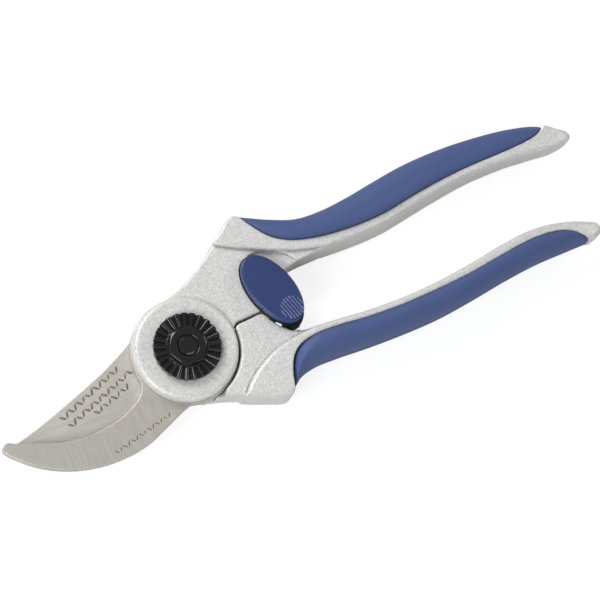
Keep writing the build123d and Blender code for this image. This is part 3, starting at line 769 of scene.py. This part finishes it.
def grip_field(handle_at, zone_at, places, halves):
    """A soft grip: the handle's full rounded section on the outer side of the seam."""
    def field(x, y, z):
        half = eased(x, places, halves)
        whole = plate_field(handle_at(x, y), z, HANDLE_MID - half, HANDLE_MID + half, GRIP_EDGE)
        return both(np.maximum(whole, -z), zone_at(x, y) + SEAM, 0.9)

    return field


upper_grip_field = grip_field(plan_map(upper_handle_plan), upper_zone_at,
                              [30, 36, 43, 54, 104, 120, 133, 144],
                              [7.3, 8.0, 8.6, 8.9, 8.85, 8.4, 7.6, 6.6])
lower_grip_field = grip_field(plan_map(lower_handle_plan), lower_zone_at,
                              [28, 34, 42, 54, 104, 120, 131, 140],
                              [7.3, 7.9, 8.6, 8.9, 8.85, 8.3, 7.4, 6.4])

field_piece("upper_casting", upper_casting, (-18, -18, 1), (151, 36, 17), 0.42, SILVER, "upper", "upper_handle")
field_piece("lower_casting", lower_casting, (-18, -27, 1), (147, 18, 17), 0.42, SILVER, "lower", "lower_handle")
field_piece("upper_soft_grip", upper_grip_field, (31, 15, 0), (148, 37, 18), 0.42, GRIP, "upper", "upper_grip")
field_piece("lower_soft_grip", lower_grip_field, (27, -26, 0), (146, -5, 18), 0.42, GRIP, "lower", "lower_grip")

# ---------------------------------------------------------------- jaws

hook_at = plan_map(hook_plan)
blade_at = plan_map(blade_plan)
bevel_at = plan_map(outline(
    smooth_path([(-63.0, -7.6), (-58.4, -8.5), (-53.0, -9.3), (-48.4, -9.7), (-38.4, -9.2), (-28.4, -8.0),
                 (-20.0, -6.4)]),
    [(-14.0, -12.0), (-30.0, -22.0), (-64.0, -20.0)]))


def hook_field(x, y, z):
    return plate_field(hook_at(x, y), z, HOOK_BACK, HOOK_FRONT, 0.22)


def blade_field(x, y, z):
    """A flat blade whose front is ground away towards the cutting edge."""
    body = plate_field(blade_at(x, y), z, BLADE_BACK, BLADE_FRONT, 0.15)
    ground = z - BLADE_FRONT + 0.20 * np.maximum(-bevel_at(x, y), 0)
    return both(body, ground, 0.5)


field_piece("hook", hook_field, (-68, -26, 9), (18, 18, 12), 0.3, HOOK_STEEL, "upper", "hook_jaw")
field_piece("blade", blade_field, (-63, -18, 6), (18, 18, 9), 0.3, BLADE_STEEL, "lower", "cutting_blade")

# ---------------------------------------------------------------- turned shapes


def turned_ring(name, profile, material, steps):
    """A closed ring turned about the pivot's axis. Its profile runs once round the section."""
    angles = 2 * math.pi * np.arange(steps) / steps
    points = []
    for radius, z in profile:
        points.append(np.stack([radius * np.cos(angles), radius * np.sin(angles), np.full(steps, z)], 1))
    faces = []
    for i in range(len(profile)):
        a, b = i * steps, (i + 1) % len(profile) * steps
        for j in range(steps):
            k = (j + 1) % steps
            faces.append((a + j, a + k, b + k, b + j))
    piece = mesh_piece(name, np.vstack(points), faces, material)
    face_outward(piece, join_doubles=True)
    return piece


def rounded(corners, radius, steps=5):
    """A profile through corners, each inner one rounded with a short arc-like run."""
    corners = np.array(corners, float)
    out = [corners[0]]
    for before, corner, after in zip(corners[:-2], corners[1:-1], corners[2:]):
        back, ahead = before - corner, after - corner
        reach = min(radius, 0.45 * np.linalg.norm(back), 0.45 * np.linalg.norm(ahead))
        start = corner + back / np.linalg.norm(back) * reach
        stop = corner + ahead / np.linalg.norm(ahead) * reach
        for t in np.linspace(0, 1, steps):
            out.append((1 - t) ** 2 * start + 2 * t * (1 - t) * corner + t ** 2 * stop)
    out.append(corners[-1])
    return np.array(out)


# ---------------------------------------------------------------- geometry nodes for what repeats


def repeat_tree(name, inputs):
    """An empty geometry tree with named inputs, a Material among them."""
    tree = bpy.data.node_groups.new(name, "GeometryNodeTree")
    tree.interface.new_socket("Geometry", in_out="OUTPUT", socket_type="NodeSocketGeometry")
    for label, kind in inputs:
        tree.interface.new_socket(label, in_out="INPUT", socket_type="NodeSocket" + kind)
    tree.interface.new_socket("Material", in_out="INPUT", socket_type="NodeSocketMaterial")
    return tree, tree.nodes.new("NodeGroupInput").outputs


def put(tree, kind, **settings):
    """A node whose inputs are given as numbers, vectors or other nodes' outputs."""
    node = tree.nodes.new(kind)
    for label, value in settings.items():
        socket = node.inputs[label.replace("_", " ")]
        if isinstance(value, bpy.types.NodeSocket):
            tree.links.new(value, socket)
        else:
            socket.default_value = value
    return node


def end_tree(tree, given, instances):
    real = put(tree, "GeometryNodeRealizeInstances", Geometry=instances)
    flat = put(tree, "GeometryNodeSetShadeSmooth", Geometry=real.outputs[0])
    coloured = put(tree, "GeometryNodeSetMaterial", Geometry=flat.outputs[0], Material=given["Material"])
    tree.links.new(coloured.outputs[0], tree.nodes.new("NodeGroupOutput").inputs[0])


def grown_piece(name, tree, values, body):
    """The tree's result with its values set, as a plain mesh that rides on a body."""
    holder = bpy.data.objects.new(name + "_holder", bpy.data.meshes.new(name + "_holder"))
    bpy.context.scene.collection.objects.link(holder)
    modifier = holder.modifiers.new("grow", "NODES")
    modifier.node_group = tree
    for socket in tree.interface.items_tree:
        if socket.in_out == "INPUT":
            modifier[socket.identifier] = values[socket.name]
    evaluated = holder.evaluated_get(bpy.context.evaluated_depsgraph_get())
    mesh = bpy.data.meshes.new_from_object(evaluated)
    mesh.name = name
    bpy.data.objects.remove(holder)
    piece = bpy.data.objects.new(name, mesh)
    bpy.context.scene.collection.objects.link(piece)
    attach(piece, body)
    return piece


def tapered_bar(tree, start, end, radius_in, radius_out, flatten, sides=12, rings=7):
    """A bar with a round section that tapers from its start to its end, flattened in height."""
    line = put(tree, "GeometryNodeCurvePrimitiveLine", Start=start, End=end)
    points = put(tree, "GeometryNodeResampleCurve", Curve=line.outputs[0], Count=rings)
    share = tree.nodes.new("GeometryNodeSplineParameter").outputs["Factor"]
    width = put(tree, "ShaderNodeMapRange", Value=share, To_Min=radius_in, To_Max=radius_out)
    sized = put(tree, "GeometryNodeSetCurveRadius", Curve=points.outputs[0], Radius=width.outputs["Result"])
    section = put(tree, "GeometryNodeCurvePrimitiveCircle", Resolution=sides)
    section.inputs["Radius"].default_value = 1.0
    tube = put(tree, "GeometryNodeCurveToMesh", Curve=sized.outputs[0], Profile_Curve=section.outputs[0],
               Fill_Caps=True)
    if "Scale" in tube.inputs:
        tree.links.new(width.outputs["Result"], tube.inputs["Scale"])
    return put(tree, "GeometryNodeTransform", Geometry=tube.outputs[0], Scale=(1.0, 1.0, flatten)).outputs[0]


def build_radial_ribs():
    """Ribs that stand round a wheel like spokes."""
    tree, given = repeat_tree("radial_ribs", [
        ("Count", "Int"), ("Inner Radius", "Float"), ("Outer Radius", "Float"), ("Inner Width", "Float"),
        ("Outer Width", "Float"), ("Level", "Float"), ("Rise", "Float")])
    start = put(tree, "ShaderNodeCombineXYZ", X=given["Inner Radius"])
    end = put(tree, "ShaderNodeCombineXYZ", X=given["Outer Radius"], Z=given["Rise"])
    bar = tapered_bar(tree, start.outputs[0], end.outputs[0], given["Inner Width"], given["Outer Width"], 0.9)
    up = put(tree, "ShaderNodeCombineXYZ", Z=given["Level"])
    lifted = put(tree, "GeometryNodeTransform", Geometry=bar, Translation=up.outputs[0])
    spots = put(tree, "GeometryNodeMeshLine", Count=given["Count"], Offset=(0.0, 0.0, 0.0))
    step = math_node(tree, "DIVIDE", 2 * math.pi, given["Count"])
    turn = math_node(tree, "MULTIPLY", tree.nodes.new("GeometryNodeInputIndex").outputs[0], step)
    facing = put(tree, "ShaderNodeCombineXYZ", Z=turn)
    placed = put(tree, "GeometryNodeInstanceOnPoints", Points=spots.outputs[0], Instance=lifted.outputs[0],
                 Rotation=facing.outputs[0])
    end_tree(tree, given, placed.outputs[0])
    return tree


def build_chord_ribs():
    """Parallel ribs whose lengths are the chords of a round patch."""
    tree, given = repeat_tree("chord_ribs", [
        ("Count", "Int"), ("Pitch", "Float"), ("Patch Radius", "Float"), ("Width", "Float"),
        ("Centre", "Vector"), ("Turn", "Float")])
    bar = tapered_bar(tree, (-1.0, 0.0, 0.0), (1.0, 0.0, 0.0), given["Width"], given["Width"], 1.0)
    gap = put(tree, "ShaderNodeCombineXYZ", Y=given["Pitch"])
    spots = put(tree, "GeometryNodeMeshLine", Count=given["Count"], Offset=gap.outputs[0])
    place = tree.nodes.new("GeometryNodeInputPosition").outputs[0]
    gaps = math_node(tree, "SUBTRACT", given["Count"], 1.0)
    span = math_node(tree, "MULTIPLY", gaps, given["Pitch"])
    shift = put(tree, "ShaderNodeCombineXYZ", Y=math_node(tree, "MULTIPLY", span, -0.5))
    centred = put(tree, "GeometryNodeSetPosition", Geometry=spots.outputs[0], Offset=shift.outputs[0])
    across = put(tree, "ShaderNodeSeparateXYZ", Vector=place).outputs["Y"]
    radius2 = math_node(tree, "MULTIPLY", given["Patch Radius"], given["Patch Radius"])
    left = math_node(tree, "SUBTRACT", radius2, math_node(tree, "MULTIPLY", across, across))
    size = put(tree, "ShaderNodeCombineXYZ", X=math_node(tree, "SQRT", left), Y=1.0, Z=1.0)
    placed = put(tree, "GeometryNodeInstanceOnPoints", Points=centred.outputs[0], Instance=bar,
                 Scale=size.outputs[0])
    facing = put(tree, "ShaderNodeCombineXYZ", Z=given["Turn"])
    moved = put(tree, "GeometryNodeTransform", Geometry=placed.outputs[0], Translation=given["Centre"],
                Rotation=facing.outputs[0])
    end_tree(tree, given, moved.outputs[0])
    return tree


def build_leaf_row():
    """A row of small leaves that lean alternately to each side of a line."""
    tree, given = repeat_tree("leaf_row", [
        ("Start", "Vector"), ("End", "Vector"), ("Count", "Int"), ("Leaf Length", "Float"),
        ("Thickness", "Float"), ("Lean", "Float"), ("Seed", "Int")])
    line = put(tree, "GeometryNodeCurvePrimitiveLine", Start=given["Start"], End=given["End"])
    spots = put(tree, "GeometryNodeCurveToPoints", Curve=line.outputs[0], Count=given["Count"])
    spots.mode = "COUNT"
    disc = put(tree, "GeometryNodeMeshCylinder", Vertices=14, Radius=1.0, Depth=1.0)
    half_leaf = math_node(tree, "MULTIPLY", given["Leaf Length"], 0.5)
    width = math_node(tree, "MULTIPLY", given["Leaf Length"], 0.14)
    shape = put(tree, "ShaderNodeCombineXYZ", X=half_leaf, Y=width, Z=given["Thickness"])
    leaf = put(tree, "GeometryNodeTransform", Geometry=disc.outputs[0], Scale=shape.outputs[0])
    index = tree.nodes.new("GeometryNodeInputIndex").outputs[0]
    side = put(tree, "ShaderNodeMapRange", Value=math_node(tree, "MODULO", index, 2.0), To_Min=-1.0, To_Max=1.0)
    leaning = math_node(tree, "MULTIPLY", side.outputs["Result"], given["Lean"])
    direction = put(tree, "ShaderNodeVectorMath")
    direction.operation = "SUBTRACT"
    tree.links.new(given["End"], direction.inputs[0])
    tree.links.new(given["Start"], direction.inputs[1])
    parts = put(tree, "ShaderNodeSeparateXYZ", Vector=direction.outputs[0])
    along = math_node(tree, "ARCTAN2", parts.outputs["Y"], parts.outputs["X"])
    facing = put(tree, "ShaderNodeCombineXYZ", Z=math_node(tree, "ADD", along, leaning))
    chance = tree.nodes.new("FunctionNodeRandomValue")
    chance.data_type = "FLOAT"
    chance.inputs[2].default_value = 0.75
    chance.inputs[3].default_value = 1.1
    tree.links.new(given["Seed"], chance.inputs["Seed"])
    size = put(tree, "ShaderNodeCombineXYZ", X=chance.outputs[1], Y=chance.outputs[1], Z=1.0)
    placed = put(tree, "GeometryNodeInstanceOnPoints", Points=spots.outputs[0], Instance=leaf.outputs[0],
                 Rotation=facing.outputs[0], Scale=size.outputs[0])
    end_tree(tree, given, placed.outputs[0])
    return tree


RADIAL_RIBS = build_radial_ribs()
CHORD_RIBS = build_chord_ribs()
LEAF_ROW = build_leaf_row()

# ---------------------------------------------------------------- tension wheel and nut

wheel = turned_ring("tension_wheel_body", rounded([
    (5.6, WHEEL_BACK), (11.0, WHEEL_BACK), (11.1, WHEEL_BACK + 0.9), (10.6, WHEEL_BACK + 1.0),
    (7.3, WHEEL_BACK + 0.45), (6.9, WHEEL_BACK + 1.25), (5.6, WHEEL_BACK + 1.25)], 0.3), BLACK_PLASTIC, 128)
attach(wheel, "adjuster")
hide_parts("tension_wheel")
grown_piece("tension_wheel_ribs", RADIAL_RIBS, {
    "Count": 25, "Inner Radius": 6.9 * MM, "Outer Radius": 11.15 * MM, "Inner Width": 0.60 * MM,
    "Outer Width": 1.0 * MM, "Level": (WHEEL_BACK + 0.80) * MM, "Rise": 0.36 * MM,
    "Material": BLACK_PLASTIC}, "adjuster")

NUT_HALF_FLATS = 6.0
NUT_CROWN_RADIUS = 5.75      # where the turned-down corners start
NUT_BORE = 3.3


def hexagon_distance(x, y, half_flats):
    best = -1e9
    for number in range(3):
        angle = math.radians(60 * number + 30)
        best = np.maximum(best, np.abs(x * math.cos(angle) + y * math.sin(angle)))
    return best - half_flats


def nut_field(x, y, z):
    """A hexagon nut whose corners are turned down and whose bore clears the thread."""
    hexagon = hexagon_distance(x, y, NUT_HALF_FLATS)
    body = both(hexagon, np.maximum(z - nut_high[2], nut_low[2] - z), 0.15)
    crown = (np.hypot(x, y) - NUT_CROWN_RADIUS) * 0.5 + (z - nut_high[2]) * 0.866
    body = both(body, crown, 0.2)
    mouth = NUT_BORE - np.hypot(x, y) + np.maximum(z - nut_high[2] + 0.45, 0)
    return both(body, mouth, 0.08)


field_piece("hexagon_nut", nut_field, (-7.2, -7.2, nut_low[2]), (7.2, 7.2, nut_high[2]), 0.2, BLACK_METAL,
            "adjuster", "pivot_nut")

# ---------------------------------------------------------------- lock lever

LEVER_ANGLE = math.radians(107.5)
LEVER_HALF_LENGTH = 13.3
LEVER_HALF_WIDTH = 7.2
LEVER_EDGE = 0.6
CAP_TOP = cap_high[2] - 0.35
CAP_CROWN = 0.28             # how far the cap's face falls towards its rim
THUMB_OFFSET = 8.8           # from the lever's middle to the ribs' middle, along the lever
THUMB_SIDE = 0.6             # and across it


def cap_field(x, y, z):
    """An oval cap with a straight side, a rounded edge and a gently crowned top."""
    c, s = math.cos(LEVER_ANGLE), math.sin(LEVER_ANGLE)
    u = (x - LOCK[0]) * c + (y - LOCK[1]) * s
    v = -(x - LOCK[0]) * s + (y - LOCK[1]) * c
    scaled = np.sqrt((u / LEVER_HALF_LENGTH) ** 2 + (v / LEVER_HALF_WIDTH) ** 2)
    slope = np.sqrt((u / LEVER_HALF_LENGTH ** 2) ** 2 + (v / LEVER_HALF_WIDTH ** 2) ** 2)
    plan = scaled * (scaled - 1) / np.maximum(slope, 1e-6)
    plan = np.where(scaled < 0.3, -0.7 * LEVER_HALF_WIDTH, plan)
    crown = CAP_TOP - CAP_CROWN * scaled ** 3
    return both(rounded_edge(plan, z - crown, LEVER_EDGE), cap_low[2] - z, 0.12)


field_piece("lever_cap", cap_field, cap_low, cap_high, 0.28, BLUE_PLASTIC, "lock_lever", "lock_cap")
patch = (LOCK[0] - THUMB_OFFSET * math.cos(LEVER_ANGLE) + THUMB_SIDE * math.sin(LEVER_ANGLE),
         LOCK[1] - THUMB_OFFSET * math.sin(LEVER_ANGLE) - THUMB_SIDE * math.cos(LEVER_ANGLE))
grown_piece("lever_thumb_ribs", CHORD_RIBS, {
    "Count": 8, "Pitch": 1.0 * MM, "Patch Radius": 3.75 * MM, "Width": 0.44 * MM,
    "Centre": (patch[0] * MM, patch[1] * MM, (CAP_TOP - 0.10) * MM), "Turn": LEVER_ANGLE,
    "Material": BLUE_RIBS_SHEEN_AND_WEAR}, "lock_lever")

# ---------------------------------------------------------------- main spring

SPRING_TURNS = 6.5
SPRING_RADIUS = 2.3
WIRE_RADIUS = 0.6


def coil_spring():
    """A round-wire coil between the two seats, its end turns closed up."""
    axis = Vector(SPRING_END - SPRING_START)
    length = axis.length
    axis.normalize()
    side = Vector((0, 0, 1))
    other = axis.cross(side)
    steps, sides = 260, 12
    total = 2 * math.pi * SPRING_TURNS
    points = []
    centres = []
    for i in range(steps + 1):
        share = i / steps
        spread = share - 0.06 * math.sin(2 * math.pi * share)
        reach = WIRE_RADIUS + 0.1 + (length - 2 * WIRE_RADIUS - 0.2) * spread
        turn = total * share
        centres.append(Vector(SPRING_START) + axis * reach
                       + (side * math.cos(turn) + other * math.sin(turn)) * SPRING_RADIUS)
    for i, centre in enumerate(centres):
        ahead = (centres[min(i + 1, steps)] - centres[max(i - 1, 0)]).normalized()
        turn = total * i / steps
        out = (side * math.cos(turn) + other * math.sin(turn))
        up = ahead.cross(out).normalized()
        out = up.cross(ahead)
        for j in range(sides):
            angle = 2 * math.pi * j / sides
            points.append(centre + (out * math.cos(angle) + up * math.sin(angle)) * WIRE_RADIUS)
    faces = []
    for i in range(steps):
        for j in range(sides):
            k = (j + 1) % sides
            faces.append((i * sides + j, i * sides + k, (i + 1) * sides + k, (i + 1) * sides + j))
    faces.append(list(range(sides))[::-1])
    faces.append([steps * sides + j for j in range(sides)])
    piece = mesh_piece("coil_spring", [tuple(p) for p in points], faces, SPRING_STEEL)
    face_outward(piece)
    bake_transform(piece)
    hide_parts("main_spring")


coil_spring()

# ---------------------------------------------------------------- etched and stamped rows

MARK_LIFT = 0.008


def mark_row(name, start, end, level, count, leaf, seed, body):
    grown_piece(name, LEAF_ROW, {
        "Start": (start[0] * MM, start[1] * MM, (level + MARK_LIFT) * MM),
        "End": (end[0] * MM, end[1] * MM, (level + MARK_LIFT) * MM), "Count": count,
        "Leaf Length": leaf * MM, "Thickness": 2 * MARK_LIFT * MM, "Lean": 0.95, "Seed": seed,
        "Material": ETCH}, body)


mark_row("blade_etching_top", (-44.9, -5.2), (-22.4, 3.3), BLADE_FRONT, 14, 2.3, 3, "lower")
mark_row("blade_etching_middle", (-43.4, -8.2), (-18.9, 0.8), BLADE_FRONT, 15, 2.3, 5, "lower")
mark_row("blade_etching_low", (-33.9, -7.4), (-21.4, -3.2), BLADE_FRONT, 8, 2.3, 7, "lower")
mark_row("hook_stamping", (-33.8, -22.4), (-13.3, -17.4), HOOK_FRONT, 14, 1.7, 11, "upper")

# ---------------------------------------------------------------- finishes of the nodes kept from the frame

for node, material in {
    "hook_screws": SCREW_STEEL, "blade_screws": SCREW_STEEL, "pivot_bush": BRONZE, "pivot_bolt": BLACK_METAL,
    "pivot_washer": SCREW_STEEL, "wave_washer": SCREW_STEEL, "lock_base": BLACK_PLASTIC,
    "lock_pin": SCREW_STEEL, "lock_washer": SCREW_STEEL, "lock_catch": BRIGHT_STEEL,
    "spring_seat_lower": BLACK_PLASTIC, "spring_seat_upper": BLACK_PLASTIC,
}.items():
    mesh = frame["nodes"][node].data
    if mesh.materials:
        mesh.materials[0] = material
    else:
        mesh.materials.append(material)

# ---------------------------------------------------------------- floor, lights and camera


FLOOR_HALF = 3000.0
FLOOR_DROP = 0.06            # floor below the shears' resting face


def pale_floor():
    """A wide pale floor that glows only to the camera, so that it stays even."""
    material, tree, shader = start_material("pale_floor", Roughness=0.9, Specular_IOR_Level=0.1)
    drift = place_group(tree, TONE_DRIFT, Scale=3.0, Amount=0.01)["Tone"]
    seen = tree.nodes.new("ShaderNodeLightPath").outputs["Is Camera Ray"]
    paper = mix_colour(tree, seen, (0.75, 0.75, 0.75), (0.30, 0.30, 0.30))
    tree.links.new(toned(tree, paper, drift), shader.inputs["Base Color"])
    shader.inputs["Emission Color"].default_value = (1.0, 1.0, 1.0, 1.0)
    tree.links.new(math_node(tree, "MULTIPLY", seen, 0.80), shader.inputs["Emission Strength"])
    half, level = FLOOR_HALF, -FLOOR_DROP
    floor = mesh_piece("floor", [(-half, -half, level), (half, -half, level), (half, half, level),
                                 (-half, half, level)], [(0, 1, 2, 3)], material, False)


def soft_light(name, place, target, size, power, size_y=None):
    data = bpy.data.lights.new(name, "AREA")
    data.shape = "RECTANGLE"
    data.size = size
    data.size_y = size_y or size
    data.energy = power
    light = bpy.data.objects.new(name, data)
    light.location = place
    light.rotation_euler = (Vector(target) - Vector(place)).to_track_quat("-Z", "Y").to_euler()
    bpy.context.scene.collection.objects.link(light)


def studio():
    pale_floor()
    middle = (0.04, 0.0, 0.01)
    soft_light("left_light", (-0.6, -0.25, 0.65), middle, 0.45, 4.7)
    soft_light("low_front_light", (0.1, -1.3, 0.30), middle, 1.4, 3.6, 0.5)
    soft_light("back_light", (-0.35, 1.0, 0.9), middle, 0.7, 12.5)
    soft_light("right_light", (1.2, 0.1, 0.7), middle, 0.5, 2.5)
    world = bpy.data.worlds.new("studio")
    world.use_nodes = True
    world.node_tree.nodes["Background"].inputs["Color"].default_value = (1.0, 1.0, 1.0, 1.0)
    world.node_tree.nodes["Background"].inputs["Strength"].default_value = 0.25
    bpy.context.scene.world = world
    bpy.context.scene.view_settings.view_transform = "Standard"


def camera_at(place, target, up, lens):
    data = bpy.data.cameras.new("camera")
    data.lens = lens
    data.sensor_width = 36.0
    data.clip_end = 20.0
    camera = bpy.data.objects.new("camera", data)
    back = (Vector(place) - Vector(target)).normalized()
    right = Vector(up).cross(back).normalized()
    top = back.cross(right)
    turn = Matrix((right, top, back)).transposed().to_4x4()
    camera.matrix_world = Matrix.Translation(Vector(place)) @ turn
    bpy.context.scene.collection.objects.link(camera)
    bpy.context.scene.camera = camera


studio()
camera_at((-0.3599, -0.2740, 1.4272), (0.0430, 0.0023, 0.0090), (0.4147, 0.9100, 0.0), 277.2)
